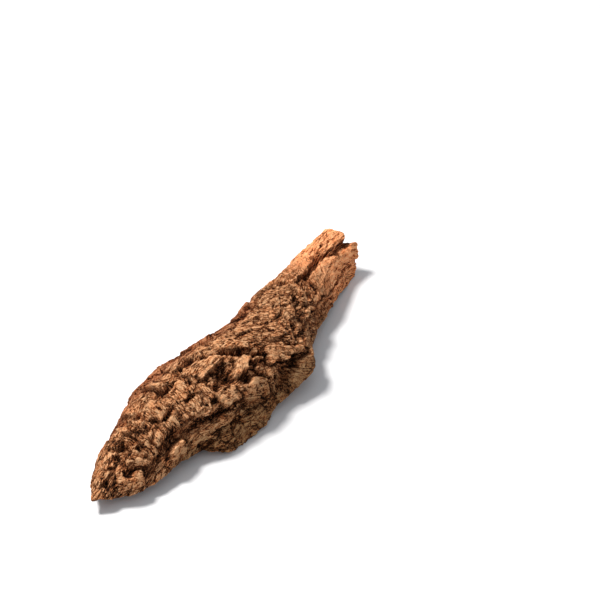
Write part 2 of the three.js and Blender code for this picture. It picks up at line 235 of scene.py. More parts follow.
def curve(table, x):
    xs, ys = np.array(table, float).T
    at = np.clip(x, xs[0], xs[-1])
    i = np.clip(np.searchsorted(xs, at, side="right") - 1, 0, len(xs) - 2)
    slope = np.diff(ys) / np.diff(xs)
    lean = np.concatenate([[slope[0]], (slope[1:] + slope[:-1]) / 2, [slope[-1]]])
    step = xs[i + 1] - xs[i]
    t = (at - xs[i]) / step
    start = (2 * t**3 - 3 * t**2 + 1) * ys[i] + (t**3 - 2 * t**2 + t) * step * lean[i]
    return start + (3 * t**2 - 2 * t**3) * ys[i + 1] + (t**3 - t**2) * step * lean[i + 1]


print("crown height at the middle:", float(curve(CROWN, 0.0)))


# %% Fixed chance
def chance(i, j, k):
    i, j = np.broadcast_arrays(np.asarray(i), np.asarray(j))
    a = i.astype(np.int64).astype(np.uint32) * np.uint32(374761393)
    b = j.astype(np.int64).astype(np.uint32) * np.uint32(668265263)
    c = np.uint32((int(k) * 1274126177) % 2**32)
    h = a ^ b ^ c
    h = (h ^ (h >> np.uint32(15))) * np.uint32(2246822519)
    h = (h ^ (h >> np.uint32(13))) * np.uint32(3266489917)
    return (h ^ (h >> np.uint32(16))) / 4294967296.0


def wander(x, y, k):
    y = y + 0.0 * x
    i = np.floor(x)
    j = np.floor(y)
    a = ease(x - i)
    b = ease(y - j)
    low = mix(chance(i, j, k), chance(i + 1, j, k), a)
    high = mix(chance(i, j + 1, k), chance(i + 1, j + 1, k), a)
    return 2 * mix(low, high, b) - 1


print("three chances:", [round(float(chance(n, 2, 3)), 3) for n in range(3)])


# %% Breaking a surface into pieces
def cells(x, y, k):
    i0 = np.floor(x)
    j0 = np.floor(y)
    near = np.full(x.shape, 9.0)
    following = np.full(x.shape, 9.0)
    own = np.zeros(x.shape)
    top = np.zeros(x.shape)
    for di in (-1, 0, 1):
        for dj in (-1, 0, 1):
            i = i0 + di
            j = j0 + dj
            dx = x - i - 0.15 - 0.7 * chance(i, j, k)
            dy = y - j - 0.15 - 0.7 * chance(i, j, k + 50)
            d = np.hypot(dx, dy)
            closer = d < near
            following = np.where(closer, near, np.minimum(following, d))
            value = chance(i, j, k + 90)
            slant = 1.6 * ((chance(i, j, k + 60) - 0.5) * dx + (chance(i, j, k + 70) - 0.5) * dy)
            own = np.where(closer, value, own)
            top = np.where(closer, 1.2 * value - 0.6 + slant, top)
            near = np.where(closer, d, near)
    return {"near": near, "border": following - near, "own": own, "top": top}


def distance_to(path, x, s):
    best = np.full(x.shape, 1e9)
    for (ax, a_s), (bx, b_s) in zip(path, path[1:]):
        dx = bx - ax
        ds = b_s - a_s
        t = clamp(((x - ax) * dx + (s - a_s) * ds) / (dx * dx + ds * ds))
        best = np.minimum(best, np.hypot(x - ax - t * dx, s - a_s - t * ds))
    return best


# %% [markdown]
# ## The plain arch
# Under all its roughness the slab is a length of branch skin. A point on it is found from two
# numbers: how far along the slab, and how far across, from -1 at the right rim to 1 at the left.
# Distances on the bark are then counted round the arch from the crown line, so that a plate has its
# true size on the steep flanks too.

# %% Bend the arch
def rim_height(table, x, k):
    z = curve(table, x)
    return z + 1.2 * clamp(z / 4) * wander(x / 9, 0.5, k)


def arch(x, across, inner=False):
    left = curve(LEFT_RIM, x)
    right = curve(RIGHT_RIM, x)
    rim = mix(rim_height(RIGHT_FOOT, x, 21), rim_height(LEFT_FOOT, x, 22), (across + 1) / 2)
    half_wide = (left - right) / 2
    high = curve(CROWN, x) - rim
    if inner:
        half_wide = half_wide - curve(RIM_WALL, x)
        high = high - curve(CROWN_WALL, x)
    turn = across * ARCH
    y = (left + right) / 2 + half_wide * np.sin(turn) / math.sin(ARCH)
    z = rim + high * (np.cos(turn) - math.cos(ARCH)) / (1 - math.cos(ARCH))
    return np.stack([x, y, z], -1)


def outward(x, across, inner=False):
    along = arch(x + 1, across, inner) - arch(x - 1, across, inner)
    around = arch(x, across + 0.02, inner) - arch(x, across - 0.02, inner)
    normal = np.cross(along, around)
    return normal / np.linalg.norm(normal, axis=-1, keepdims=True)


HALF_TURN = 1.396


def round_arch(x, across):
    wide = (curve(LEFT_RIM, x) - curve(RIGHT_RIM, x)) / 2
    high = curve(CROWN, x) - (curve(LEFT_FOOT, x) + curve(RIGHT_FOOT, x)) / 2
    return across * HALF_TURN * np.sqrt((wide * wide + high * high) / 2)


print("bark round the arch at the middle:", round(2 * float(round_arch(np.array(0.0), 1.0)), 1), "mm")

# %% [markdown]
# ## The furrows, ledges, plates and holes one by one
# The large marks are this slab's own, traced from the photo as distances along it and round the
# arch: furrows as paths with a width and a depth, and holes as round pits. A plate is an oblong:
# its middle, half its length and width, how far it is turned, how high it stands, and how it leans
# along and across, as lifted bark does. A pattern alone would give bark, but not this bark.

# %% Trace the furrows
FURROWS = [
    ([(-112, -22), (-105, -22), (-98, -23), (-93, -25), (-87, -27), (-80, -27), (-70, -28),
      (-62, -30)], 2.6, 5.2),
    ([(-70, -36), (-60, -41), (-53, -38), (-45, -40), (-38, -40), (-30, -42)], 2.4, 3.2),
    ([(-58, -31), (-50, -34), (-45, -36)], 2.0, 3.0),
    ([(-45, -29), (-45, -37)], 2.0, 3.5),
    ([(-98, 6), (-90, 8), (-82, 5), (-76, 3), (-68, 5), (-60, 7)], 2.6, 4.5),
    ([(-82, 3), (-83, -4), (-86, -11), (-92, -14)], 1.9, 3.5),
    ([(-80, 8), (-80, 24)], 2.2, 3.0),
    ([(-108, 8), (-106, 20)], 2.2, 3.0),
    ([(-48, 10), (-42, 5), (-36, 3), (-29, -2), (-22, -8), (-17, -13), (-9, -19)], 2.2, 5.5),
    ([(-134, -8), (-130, -11), (-127, -14), (-124, -18)], 2.0, 4.5),
    ([(-127, -19), (-120, -20.5), (-113, -21.5)], 1.7, 3.0),
    ([(-122, -7), (-120, -12), (-116, -19)], 1.2, 2.0),
    ([(-109, -2), (-116, -1), (-124, 0), (-132, 1)], 5.0, 4.2),
    ([(-96, -9), (-104, -12), (-112, -13)], 1.8, 2.2),
    ([(9, -30), (3, -33), (-3, -36), (-9, -38), (-14, -41)], 2.4, 4.5),
    ([(80, -5), (88, -5), (97, -5), (105, -4), (111, -8)], 1.7, 2.6),
    ([(112, -9), (120, -12), (136, -12)], 1.5, 2.6),
    ([(54, -9), (50, -14), (45, -15)], 1.8, 3.5),
    ([(20, -23), (34, -25), (50, -26), (74, -27), (100, -29), (124, -30)], 2.0, 2.8),
    ([(60, -33), (90, -33), (110, -34)], 2.0, 2.0),
    ([(-60, 22), (-38, 23), (-12, 21)], 2.4, 3.0),
    ([(-6, 13), (16, 16), (44, 13), (70, 15)], 2.2, 2.2),
    ([(10, 29), (44, 27), (84, 25), (118, 24)], 2.4, 2.6),
    ([(5, -3), (9, -8)], 1.6, 2.0),
]
print(len(FURROWS), "furrows")

# %% Set out the plates
PLATES = [
    (-91, -3.5, 6, 8, 8, 4.2, 0.5, -0.2), (-104, -3.5, 3, 3.5, -10, 2.8, 0.3, 0.6),
    (-104, -13.5, 4.6, 5.5, -8, 3.2, 0.4, 0.3), (-92, -18, 5, 4, -10, 2.2, 0.5, 0.2),
    (-113.5, -13, 3, 6.5, 0, 3.2, 0.6, 0.2), (-120, -12.5, 8, 2.6, -66, 3.2, -0.2, 0.5),
    (-125.5, -11.5, 7, 2.4, -52, 3.0, -0.3, 0.5), (-135, -14, 9, 4.2, -38, 3.0, 0.3, 0.5),
    (-132, 7, 5.5, 5, 10, 2.2, 0.2, -0.6), (-143, 4, 5, 4, 0, 1.8, 0.4, -0.4),
    (-119, 10, 6, 5, 15, 2.0, -0.2, -0.6), (-109, 8, 4.5, 6, -15, 2.2, -0.5, -0.3),
    (-72, 14, 5, 8, 10, 2.6, -0.7, -0.2), (-63, 9, 7, 5.5, -10, 1.8, 0.3, 0),
    (-73, -4, 6.5, 7.5, -8, 3.4, 0.7, 0.1), (-60, -5, 1.6, 4.5, -25, 2.2, 0, 0.3),
    (-62.5, -15.5, 3, 5, -5, 3.6, 0.3, -0.3), (-71.5, -20, 5.5, 6, -8, 3.0, 0.4, -0.3),
    (-80, -17, 3.5, 5, -10, 1.6, 0, 0), (-99, -31, 7, 4, -15, 2.6, 0, 0.6),
    (-84, 14, 6, 7, 0, 1.2, 0.4, 0), (-95, 14, 5, 7, 0, 1.4, -0.4, 0.2),
    (-47, 0, 11, 8.5, 12, 4.0, 0.4, -0.4), (-52, 14, 7, 5, 0, 2.2, -0.3, -0.5),
    (-36, 12, 8, 4, -10, 2.0, 0, -0.5), (-32, 4, 5, 3, -25, 2.6, 0.4, -0.3),
    (-18, 0, 10, 6, -35, 2.6, -0.5, -0.4), (-31, -7, 6, 4, -20, 1.4, 0, 0.3),
    (-29.5, -16, 10, 3, 15, 5.2, 0.1, -0.5), (-15, -16, 6, 3.8, 10, 2.0, 0, 0),
    (-20, -25.5, 3, 2.4, 0, 2.8, 0, 0.3), (-2, -22, 8.5, 5.5, -8, 3.2, 0.2, -0.5),
    (9, -26, 7, 2.6, -23, 5.6, 0.3, 0.2), (10, -41, 15, 7, -5, 2.4, 0, 0.6),
    (-51, -26, 8, 5, -12, 3.0, 0.3, -0.4), (-32, -32, 11, 5.5, -14, 3.0, 0.2, 0.4),
    (-52, -36, 7, 3.5, -10, 1.4, 0, -0.3), (-66, -34, 7, 3.5, -10, 1.4, 0, -0.5),
    (-4, 9, 8, 5, -30, 1.3, 0.5, -0.3), (12, 13, 8, 5, -20, 1.3, 0.3, -0.5),
    (22, 2, 9, 6, -15, 1.0, 0.5, -0.3), (39, 5, 8, 6, 0, 1.0, 0.5, 0.2),
    (10, -9, 8, 5, -15, 1.0, 0.3, -0.3), (34, -11, 7, 4, 0, 1.0, 0, -0.4),
    (54, -15, 5, 2.2, -30, 3.2, 0, 0.5), (50, -25, 11, 4.5, -5, 2.2, 0, 0.5),
    (64, -7, 4, 7, -8, 1.6, -0.6, 0.2), (100, -16, 22, 8.5, -2, 2.8, -0.3, 0.5),
    (84, 6, 20, 9, 0, 2.0, -0.2, -0.4), (126, 3, 15, 11, -5, 2.8, 0.3, -0.2),
    (133, -18, 11, 5, -8, 3.4, 0.3, 0.3), (98, -29, 28, 4, -2, 1.6, 0, 0.5),
    (58, 20, 14, 5, 0, 1.2, 0, -0.4), (24, 24, 12, 5, 0, 1.6, 0, -0.3),
    (-20, 26, 12, 6, 0, 1.8, 0, -0.3),
]
print(len(PLATES), "plates")

# %% Bore the holes
HOLES = [
    (-115, -1, 3.4, 4), (-117, -8, 2.2, 4), (-123, 0, 2.6, 2.5), (-129, 2, 1.8, 3),
    (-146, -3, 2.2, 2.5), (-94, -25, 3.2, 3.5), (-84, -27, 2.8, 2.5), (-73, -1, 1.8, 2),
    (-62, 4, 2.4, 2.5), (-44, -15, 6, 4.5), (-53, -18, 2.4, 3), (-33, -22.5, 3.4, 5),
    (-20, -20, 2.0, 3), (-10, -21, 2.0, 3), (-12, -33.5, 1.7, 3.5), (6, -32, 3.6, 5),
    (-1, -34, 2.4, 2.5), (27, -18, 3.2, 3), (22, -21, 2.6, 2.5), (38, -8, 1.8, 3),
    (67, -15, 2.4, 3), (48, -22, 2.0, 2.5), (56, -24, 1.8, 2.5), (105, -4, 3.0, 4.5),
    (100, -4, 2.6, 3.5), (-80, -42, 3.4, 3.5), (124, -2, 1.2, 2), (117, 1, 1.2, 1.6),
    (-104, 14, 2.4, 2.5), (-24, 14, 2.4, 2), (54, 6, 1.8, 2), (92, 20, 2.2, 2.2), (27, -12, 1.5, 2),
]
print(len(HOLES), "holes")


# %% [markdown]
# ## The relief of the solid model
# This is how high the bark stands over the plain arch, by the same formula as the solid: broad
# swellings, flat slanting facets where pieces broke away, a broken pattern of furrows, and the
# traced marks. The far end is calmer, because there the bark is split along its straight grain, and
# both flanks are smoother than the crown. Each plate has a narrow gap round it that comes and goes,
# which is what makes it look lifted.

# %% Say where the bark is rough
def roughness_of(x, s):
    far = ease(clamp((x - 55) / 40))
    upper = ease(clamp((x + 28) / 30)) * (1 - far)
    left = ease(clamp((s - 8) / 14))
    right = ease(clamp((-s - 26) / 12))
    return (1 - 0.55 * upper) * (1 - 0.35 * left) * (1 - 0.4 * right) * (1 - far)


def furrow_pattern(value, lip, depth, width):
    return lip * np.tanh(value / 0.2) - depth * np.exp(-np.abs(value) / width)


print("roughness behind the tip and at the far end:",
      [float(roughness_of(np.array(x), np.array(0.0))) for x in (-90.0, 120.0)])


# %% Raise the plates
PLATE_RISE = 1.3
SQUARENESS = 8


def plate_tops(x, s):
    raised = np.zeros(x.shape)
    gap = np.zeros(x.shape)
    tint = np.zeros(x.shape)
    grain_turn = np.zeros(x.shape)
    on_plate = np.zeros(x.shape)
    for number, (px, ps, half_long, half_wide, turn, high, lean_long, lean_wide) in enumerate(PLATES):
        a = math.radians(turn)
        u = ((x - px) * math.cos(a) + (s - ps) * math.sin(a)) / half_long
        v = ((s - ps) * math.cos(a) - (x - px) * math.sin(a)) / half_wide
        e = (u ** SQUARENESS + v ** SQUARENESS) ** (1 / SQUARENESS)
        out = (e - 1) * min(half_long, half_wide)
        top = high * (1 + lean_long * np.clip(u, -1, 1) + lean_wide * np.clip(v, -1, 1))
        top = top / (1 + abs(lean_long) + abs(lean_wide))
        here = clamp(0.5 - out / 1.0)
        stand = top * here
        on_plate = np.maximum(on_plate, here)
        tint = np.where(stand > raised, ((number * 5) % 7) / 6 - 0.5, tint)
        grain_turn = np.where(stand > raised, a + ((number * 3) % 5) * 0.12 - 0.24, grain_turn)
        raised = np.maximum(raised, stand)
        gap = np.maximum(gap, top * np.exp(-(((out - 0.9) / 0.9) ** 2)))
    gap = gap * mix(0.4, 1, ease(clamp(0.5 + 1.3 * wander(x / 7, s / 7, 15))))
    gap = np.where(raised > gap, 0, PLATE_RISE * gap)
    return PLATE_RISE * raised, gap, tint, grain_turn, on_plate


first_plate = plate_tops(np.array([-91.0]), np.array([-3.5]))
print("the first plate stands", round(float(first_plate[0][0]), 1), "mm high")


# %% Raise the large relief
SWELL = 1.3
FACET_SLANT = 1.7
GAP_DEPTH = 0.4
FURROW_DEPTH = 1.2
HOLE_DEPTH = 1.4


def large_relief(x, s):
    x1 = x + 1.3 * wander(x / 5, s / 5, 1)
    s1 = s + 1.3 * wander(x / 5, s / 5, 2)
    x2 = x1 + 3 * wander(x / 15, s / 11, 3)
    s2 = s1 + 3 * wander(x / 15, s / 11, 4)
    rough = roughness_of(x, s)
    far = ease(clamp((x - 55) / 40))
    x3 = x1 + 0.5 * wander(x / 1.8, s / 1.8, 13)
    s3 = s1 + 0.5 * wander(x / 1.8, s / 1.8, 14)
    raised, gap, tint, grain_turn, on_plate = plate_tops(x3, s3)
    broken = 0.5 * wander(x2 / 17, s2 / 9, 7)
    broken = broken + furrow_pattern(wander(x2 / 30, s2 / 9, 6), 0.5, 2.0, 0.10)
    split = 0.6 * wander(x1 / 50, s1 / 7, 10)
    split = split + furrow_pattern(wander(x1 / 75, s1 / 6.5, 9), 0.4, 1.6, 0.11)
    faces = cells(x3 / mix(15, 45, far), s3 / mix(8.5, 7, far), 12)
    h = rough * broken + far * split + mix(rough, 0.3, far) * FACET_SLANT * faces["top"]
    h = SWELL * wander(x / 38, s / 24, 5) + (1 - 0.75 * on_plate) * h + raised - GAP_DEPTH * gap
    for path, width, depth in FURROWS:
        spread = width * (1 + 0.3 * wander(x / 9, s / 9, 8))
        h = h - FURROW_DEPTH * depth * np.exp(-((distance_to(path, x3, s3) / spread) ** 1.5))
    for px, ps, radius, depth in HOLES:
        h = h - HOLE_DEPTH * depth * np.exp(-((np.hypot(x3 - px, s3 - ps) / radius) ** 4))
    return {"h": h, "gap": gap, "tint": tint, "grain_turn": grain_turn, "on_plate": on_plate}


three_places = np.array([-90.0, 0.0, 120.0])
print("large relief at three places:", large_relief(three_places, np.zeros(3))["h"].round(1), "mm")


# %% [markdown]
# ## The fine relief
# Closer up, cork breaks into chips with flat slanting faces. They lie along the slab at the tip,
# across it on the plates behind the tip, slanting in the upper part, and as long splinters at the
# far end. Each chip has its own grain direction and thin cracks round it.

# %% Break the bark into chips
def either(choice, first, second):
    return {key: np.where(choice, first[key], second[key]) for key in first}


def chips_at(x, s, upper, far):
    crosswise = (np.abs(x + 89) / 29 < 1) & (np.abs(s + 8) / 15 < 1)
    chips = cells(x / 10, s / 4.6, 67)
    slanting_chips = cells((0.75 * x - 0.66 * s) / 8, (0.66 * x + 0.75 * s) / 3.4, 87)
    chips = either(upper > 0.5, slanting_chips, chips)
    chips = either(far > 0.5, cells(x / 30, s / 3.6, 75), chips)
    chips = either(crosswise, cells(x / 4.4, s / 10, 83), chips)
    return chips, crosswise


def how_broken(large, x, s, upper, far):
    smooth_side = ease(clamp((s - 9) / 12)) * (1 - far)
    lobe = ease(clamp(1.5 - np.hypot((x - 9) / 12, (s + 43) / 9)))
    right = ease(clamp((-s - 26) / 12)) * (1 - far)
    amount = (1 - 0.35 * smooth_side) * (1 - 0.4 * upper) * (1 - 0.3 * right) * (1 - 0.4 * lobe)
    return amount * (1 - 0.5 * large["on_plate"])


tried, lies_across = chips_at(three_places, np.zeros(3), np.zeros(3), np.zeros(3))
print("chips lie across the slab at", int(lies_across.sum()), "of the three places")


# %% [markdown]
# The bark grew one layer a year, and the layers break away in low steps. Fibres show as fine
# streaks along the grain, and pores and crumbs roughen the rest. All of it is added in one go,
# because the steps follow the height that the chips have left.

# %% Add the cracks, the layers, the grain and the crumbs
LAYER = 1.1
STEP_SHARE = 0.6
PORE_DEPTH = 1.6


def layer_steps(rung):
    part = rung - np.floor(rung)
    return STEP_SHARE * LAYER * (ease(clamp((part - 0.5) / 0.2 + 0.5)) - part)


def pores(x, s):
    pore = cells(x / 6, s / 5, 72)
    return (pore["own"] < 0.25) * np.exp(-((pore["near"] / (0.12 + 0.25 * pore["own"])) ** 4))


def grain_turn_at(large, chips, crosswise, upper, far):
    turn = 0.9 * (1 - 0.8 * far) * (chips["own"] - 0.5)
    turn = np.where(large["on_plate"] > 0.5, large["grain_turn"], turn)
    return turn + np.where(crosswise, 1.5, 0) - 0.75 * upper


def fine_relief(large, x, s):
    far = ease(clamp((x - 60) / 40))
    upper = ease(clamp((x + 25) / 25)) * (1 - far)
    x1 = x + 0.8 * wander(x / 4, s / 4, 63) + 0.4 * wander(x / 1.7, s / 1.7, 64)
    s1 = s + 0.8 * wander(x / 4, s / 4, 65) + 0.4 * wander(x / 1.7, s / 1.7, 66)
    amount = how_broken(large, x, s, upper, far)
    chips, crosswise = chips_at(x1, s1, upper, far)
    small = cells(x1 / 3.6, s1 / 2.0, 85)
    opened = ease(clamp(wander(x / 13, s / 9, 79) * 1.6 + 0.55))
    opened_small = ease(clamp(wander(x / 10, s / 8, 71) * 1.8 + 0.2))
    seam = opened * np.exp(-((chips["border"] * 4.6 / 0.6) ** 2))
    small_seam = opened_small * np.exp(-((small["border"] * 2.4 / 0.7) ** 2))
    raised = 0.42 * chips["top"] + 0.2 * small["top"]
    h = large["h"] + amount * (raised - 0.8 * seam - 0.4 * small_seam)
    rung = h / LAYER + 0.2 * wander(x1 / 9, s1 / 6, 61) + 0.8 * chips["own"]
    h = h + layer_steps(rung)
    turn = grain_turn_at(large, chips, crosswise, upper, far)
    x2 = mix(x1, x, 0.85)
    s2 = mix(s1, s, 0.85)
    grain_x = (x2 * np.cos(turn) + s2 * np.sin(turn)) * (1 - 0.4 * far)
    grain_s = s2 * np.cos(turn) - x2 * np.sin(turn)
    hole = pores(x1, s1)
    crumb = 0.25 * wander(x1 / 1.9, s1 / 1.6, 73) + 0.3 * wander(x / 1.1, s / 1.0, 74)
    h = h + (0.18 + 0.15 * far) * wander(grain_x / 8, grain_s / 1.5, 77)
    h = h - PORE_DEPTH * hole + mix(amount, 0.7, far) * crumb
    # This value marks seams, pores and the gaps round plates; the finish darkens them there as painted
    # shade.
    shade_in_cracks = np.maximum(np.maximum(0.8 * seam, 0.5 * small_seam), 0.8 * hole)
    shade_in_cracks = np.maximum(shade_in_cracks, 0.55 * clamp(large["gap"] / 1.3))
    marks = {"shade_in_cracks": shade_in_cracks, "tint": large["tint"] + 0.4 * chips["top"], "rung": rung}
    return h, marks, np.stack([grain_x, grain_s, 20 * chips["own"]], -1)


tried_h = fine_relief(large_relief(three_places, np.zeros(3)), three_places, np.zeros(3))[0]
print("relief at the three places:", tried_h.round(1), "mm")


# %% [markdown]
# ## Growing the outer face
# The outer face is a net of points, about two thirds of a millimetre apart, each lifted off the
# plain arch by the relief. Where the relief cuts deep, it is held back so that sound bark stays
# under it, and at the thin tip all of it is made lower, so that the skin never folds through
# itself.

# %% Grow the outer face
ROWS = 448
COLUMNS = 164


def end_x(across):
    return curve(END_LINE, across) + 1.4 * wander(across * 7, 0.5, 51)


def outer_face(u, v):
    across = 2 * v - 1
    x = mix(TIP_X + TIP_POINT * across * across, end_x(across), u)
    s = round_arch(x, across)
    plain = arch(x, across)
    spare = np.maximum(1, np.linalg.norm(plain - arch(x, across, True), axis=-1) - LEAST_WALL)
    h, marks, grain = fine_relief(large_relief(x, s), x, s)
    h = h * clamp(0.3 + (x - TIP_X) / 12)
    lift = np.where(h > 0, h, spare * np.tanh(h / spare))
    return plain + outward(x, across) * lift[..., None], x, s, lift, marks, grain


u, v = np.meshgrid(np.arange(ROWS + 1) / ROWS, np.arange(COLUMNS + 1) / COLUMNS, indexing="ij")
outer, outer_x, outer_s, outer_h, outer_marks, outer_grain = outer_face(u, v)
print("outer face:", outer.shape[0] * outer.shape[1], "points, relief from",
      round(float(outer_h.min()), 1), "to", round(float(outer_h.max()), 1), "mm")

# %% [markdown]
# The rims dip a little below the floor at the feet, where they will be cut flat. A bump below the
# floor would then be left as a thin flap lying on it. So each point down there is first tucked in
# under its neighbour, as the worn edge of a real foot is.

# %% Tuck in the feet
TUCK = 0.35
middle = COLUMNS // 2
for side in (1, -1):
    for step in range(1, middle + 1):
        column = middle + side * step
        below = outer[:, column, 2] < 0
        outer[below, column, 1] = outer[below, column - side, 1] - side * TUCK
print("points under the floor:", int((outer[:, :, 2] < 0).sum()))


# %% [markdown]
# ## Growing the belly
# The inner side is where the bark parted from the wood. It is far smoother, with long low ribs and
# fine grain, so half as many points each way are enough.

# %% Grow the belly
def inner_face(u, v):
    across = 2 * v - 1
    x = mix(TIP_X + TIP_POINT * across * across + TIP_WALL, end_x(across) - 1, u)
    s = round_arch(x, across)
    rib = 1.1 * wander(x / 34, s / 6.5, 31) + 0.7 * wander(x / 13, s / 8, 32)
    rib = rib + 0.35 * wander(x / 9, s / 2.4, 33) + 0.2 * wander(x / 2.6, s / 2.4, 34)
    return arch(x, across, True) + outward(x, across, True) * rib[..., None], x, s, rib


inner_rows = np.arange(ROWS // 2 + 1) * 2 / ROWS
inner_columns = np.arange(COLUMNS // 2 + 1) * 2 / COLUMNS
iu, iv = np.meshgrid(inner_rows, inner_columns, indexing="ij")
inner, inner_x, inner_s, inner_h = inner_face(iu, iv)
print("belly:", inner.shape[0] * inner.shape[1], "points")


# %% [markdown]
# ## Closing the rim
# Between the two faces runs the broken rim. Three rows of points carry it round from the outer edge
# to the inner edge, drooping a little in the middle and roughened as torn cork is.

# %% Walk round the border
def border(rows, columns):
    right = [(i, 0) for i in range(rows)]
    end = [(rows, j) for j in range(columns)]
    left = [(i, columns) for i in range(rows, 0, -1)]
    tip = [(0, j) for j in range(columns, 0, -1)]
    return np.array(right + end + left + tip)


outer_ring = border(ROWS, COLUMNS)
inner_ring = border(ROWS // 2, COLUMNS // 2)
edge = outer[outer_ring[:, 0], outer_ring[:, 1]]
foot = inner[inner_ring[:, 0], inner_ring[:, 1]]
foot_full = np.empty_like(edge)
foot_full[0::2] = foot
foot_full[1::2] = (foot + np.roll(foot, -1, axis=0)) / 2
at_end = outer_ring[:, 0] == ROWS
at_tip = outer_ring[:, 0] == 0
on_left = outer_ring[:, 1] == COLUMNS
print("border:", len(edge), "points outside,", len(foot), "inside")

# %% Fill the rim
rim_rows = []
for part in (0.25, 0.5, 0.75):
    row = mix(edge, foot_full, part)
    bulge = 4 * part * (1 - part)
    torn = wander(row[:, 0] / 3, row[:, 1] / 3 + row[:, 2] / 2, 81)
    torn = torn + 0.6 * wander(row[:, 0] / 1.4, row[:, 2], 82)
    row[:, 0] += np.where(at_end, bulge * 0.9 * torn, 0) - np.where(at_tip, bulge, 0)
    row[:, 2] -= np.where(at_end | at_tip, 0, bulge * (RIM_DROOP + 0.5 * torn))
    row[:, 1] += np.where(at_end | at_tip, 0, np.where(on_left, 0.5, -0.5) * bulge * torn)
    rim_rows.append(row)
print("rim rows:", len(rim_rows))


# %% [markdown]
# ## One closed skin
# All points go into one mesh. The outer face and the belly are nets of four-cornered faces, the rim
# is strips, and the last strip is stitched two to one where the belly's net is coarser. The points
# carry their place on the bark and their height with them, which the colours will use.

# %% Number the points
outer_count = outer.shape[0] * outer.shape[1]
inner_count = inner.shape[0] * inner.shape[1]
ring_count = len(edge)
points = np.vstack([outer.reshape(-1, 3), inner.reshape(-1, 3)] + rim_rows)
points[:, 2] = np.maximum(0, points[:, 2])
outer_number = np.arange(outer_count).reshape(outer.shape[:2])
inner_number = outer_count + np.arange(inner_count).reshape(inner.shape[:2])
edge_number = outer_number[outer_ring[:, 0], outer_ring[:, 1]]
foot_number = inner_number[inner_ring[:, 0], inner_ring[:, 1]]
row_numbers = [outer_count + inner_count + n * ring_count + np.arange(ring_count) for n in range(3)]
print(len(points), "points numbered")


# %% Weave the faces
def net(number):
    corners = [number[:-1, :-1], number[1:, :-1], number[1:, 1:], number[:-1, 1:]]
    return np.stack(corners, -1).reshape(-1, 4)


def strip(upper, lower):
    return np.stack([upper, lower, np.roll(lower, -1), np.roll(upper, -1)], -1)


quads = [net(outer_number), net(inner_number)[:, ::-1]]
quads.append(strip(edge_number, row_numbers[0]))
quads.append(strip(row_numbers[0], row_numbers[1]))
quads.append(strip(row_numbers[1], row_numbers[2]))
print("four-cornered faces:", sum(len(q) for q in quads))

# %% Stitch the last strip
last = row_numbers[2]
first = last[0::2]
second = last[1::2]
third = np.roll(last, -2)[0::2]
after = np.roll(foot_number, -1)
stitches = np.vstack([
    np.stack([first, foot_number, second], -1),
    np.stack([second, foot_number, after], -1),
    np.stack([second, after, third], -1),
])
print("stitches:", len(stitches))

# %% Make the mesh
faces = np.vstack(quads).tolist() + stitches.tolist()
shift = np.array([DRAWING_TO_FLOOR[0], DRAWING_TO_FLOOR[1], 0.0])
bark_mesh = bpy.data.meshes.new("bark")
bark_mesh.from_pydata(((points + shift) / 1000).tolist(), [], faces)
bark_mesh.update()
bark = bpy.data.objects.new("bark", bark_mesh)
bpy.context.scene.collection.objects.link(bark)
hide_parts("cork_slab")
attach(bark, "root")
triangles = sum(len(p.vertices) - 2 for p in bark_mesh.polygons)
print("bark:", triangles, "triangles")


# %% [markdown]
# ## What the colours need to know
# The finish makes raised bark paler and deep bark darker, which is partly the paler plates and partly
# painted shade in the furrows. It also paints shade into each hollow and a highlight on each edge. So
# each point is given its height over the plain arch, and whether it lies in a hollow or on an edge,
# found by comparing its height with the mean height round it.

# %% Measure the hollows
def mean_around(a, reach):
    for axis in (0, 1):
        padded = np.pad(a, [(reach, reach) if n == axis else (0, 0) for n in (0, 1)], mode="edge")
        total = np.cumsum(padded, axis=axis)
        zero = np.zeros_like(np.take(total, [0], axis=axis))
        total = np.concatenate([zero, total], axis=axis)
        width = 2 * reach + 1
        size = a.shape[axis]
        upto = np.take(total, range(width, width + size), axis=axis)
        a = (upto - np.take(total, range(size), axis=axis)) / width
    return a


# These two values let the finish paint shade into hollows and highlights onto edges.
small_shade_and_highlight = outer_h - mean_around(mean_around(outer_h, 2), 2)
wide_shade_and_highlight = outer_h - mean_around(mean_around(outer_h, 8), 8)
print("small hollows to", round(float(small_shade_and_highlight.min()), 2), "mm")
print("wide hollows to", round(float(wide_shade_and_highlight.min()), 2), "mm")


# %% [markdown]
# ## Pale patches, and dark patches that are mostly painted shade
# Where the outer crust has come away the bark is paler. Most dark patches paint shade into the
# hollows, the pits and the pockets under lifted flakes, and a few broad ones darken wide stretches
# of the bark. Each patch is an oval with a ragged edge: its middle, its two half widths and its
# strength.

# %% List the patches
PALE_PATCHES = [
    (-91, -3, 8, 8, 1.9), (-84, -8, 26, 16, 0.6), (-120, -12, 6, 6, 0.9), (-120, -10, 22, 16, 0.35),
    (-76, -4, 7, 7, 0.7), (-67, -12, 5, 8, 0.6), (-49, 0, 12, 8, 0.55), (-28, -15, 10, 4, 1.0),
    (9, -26, 7, 3, 1.6), (-30, -16, 10, 3.4, 1.5), (-10, 7, 10, 7, 0.8), (3, 11, 9, 6, 0.8),
    (-28, 2, 6, 3, 0.7), (131, -19, 13, 6, 0.9), (108, -14, 26, 7, 0.5), (112, 8, 26, 8, 0.4),
    (-104, -13, 7, 7, 0.4), (-38, -30, 9, 5, 0.35), (20, 10, 16, 12, 0.3), (54, -18, 6, 4, 0.5),
    (-122, -14, 6, 3, 0.5), (-20, 12, 14, 6, 0.4),
]
